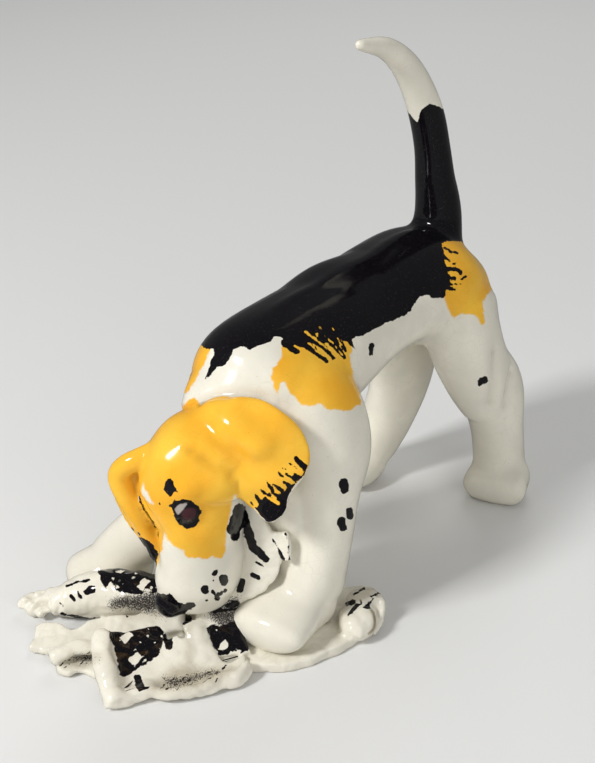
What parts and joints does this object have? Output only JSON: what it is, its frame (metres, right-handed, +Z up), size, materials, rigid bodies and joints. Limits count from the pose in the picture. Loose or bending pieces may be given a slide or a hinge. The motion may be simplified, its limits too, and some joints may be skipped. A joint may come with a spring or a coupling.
{
  "type": "porcelain dog figurine",
  "caption": "Standing glazed porcelain hound puppy figurine, nose down in a torn crumpled newspaper, tail raised; hollow body and head with luted legs, ears, tail and paper leaves.",
  "frame": {"origin": "middle of the footprint's box, on the surface that the figurine stands on", "axes": "+Z up, +Y along the body from the head towards the tail, +X towards the dog's left side"},
  "size_m": [0.0886, 0.1654, 0.1522],
  "materials": {
    "cream_glaze": "glossy, finely crazed clear glaze over cream porcelain with hand-painted black and yellow markings",
    "yellow_glaze": "glossy clear glaze over hand-painted egg-yolk yellow",
    "black_glaze": "glossy black glaze, with a cream tip on the tail",
    "paper_glaze": null
  },
  "bodies": {
    "root": {"torso": "cream_glaze", "head": "yellow_glaze", "left_ear": "yellow_glaze", "right_ear": "yellow_glaze", "tail": "black_glaze", "left_foreleg": "cream_glaze", "right_foreleg": "cream_glaze", "left_hind_leg": "cream_glaze", "right_hind_leg": "cream_glaze", "paper_base_sheet": "paper_glaze", "paper_back_roll": "paper_glaze", "paper_left_tongue": "paper_glaze", "paper_left_leaf": "paper_glaze", "paper_front_fold": "paper_glaze", "paper_front_rim": "paper_glaze", "paper_centre_ridge": "paper_glaze", "paper_print_panel": "paper_glaze", "paper_mouth_strip": "paper_glaze", "paper_cheek_scrap": "paper_glaze", "paper_right_curl": "paper_glaze", "paper_right_leaf": "paper_glaze"}
  },
  "joints": []
}
